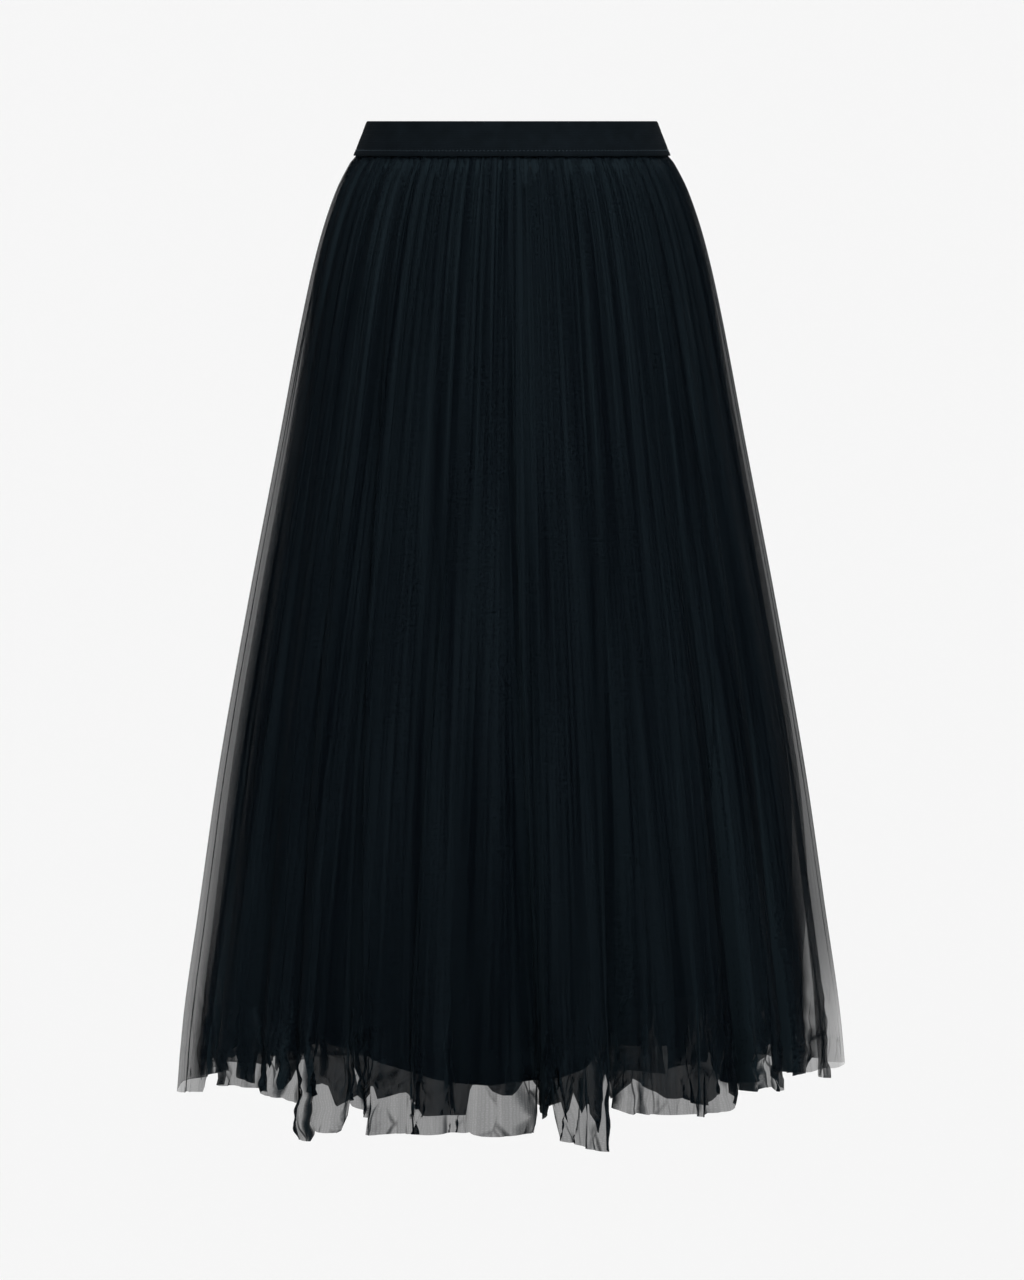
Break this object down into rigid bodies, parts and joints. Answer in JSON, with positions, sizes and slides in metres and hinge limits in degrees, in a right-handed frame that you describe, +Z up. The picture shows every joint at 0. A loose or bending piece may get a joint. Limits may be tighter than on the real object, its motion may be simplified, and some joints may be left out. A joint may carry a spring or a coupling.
{
  "type": "tulle skirt",
  "caption": "Long gathered skirt of layered tulle over an opaque lining, on a plain elastic waistband, filled out as worn.",
  "frame": {"origin": "middle of the waist, halfway up the waistband", "axes": "+Z up, along the wearer's height; -Y to the front; +X to the right as seen from the front"},
  "size_m": [0.5862, 0.4982, 0.8698],
  "materials": {
    "elastic": "matt ribbed elastic",
    "tulle": "sheer fine net",
    "lining": "soft satin"
  },
  "bodies": {
    "root": {"waistband": "elastic", "outer_tulle_front": "tulle", "outer_tulle_back": "tulle", "under_tulle_front": "tulle", "under_tulle_back": "tulle", "lining_front": "lining", "lining_back": "lining"}
  },
  "joints": []
}
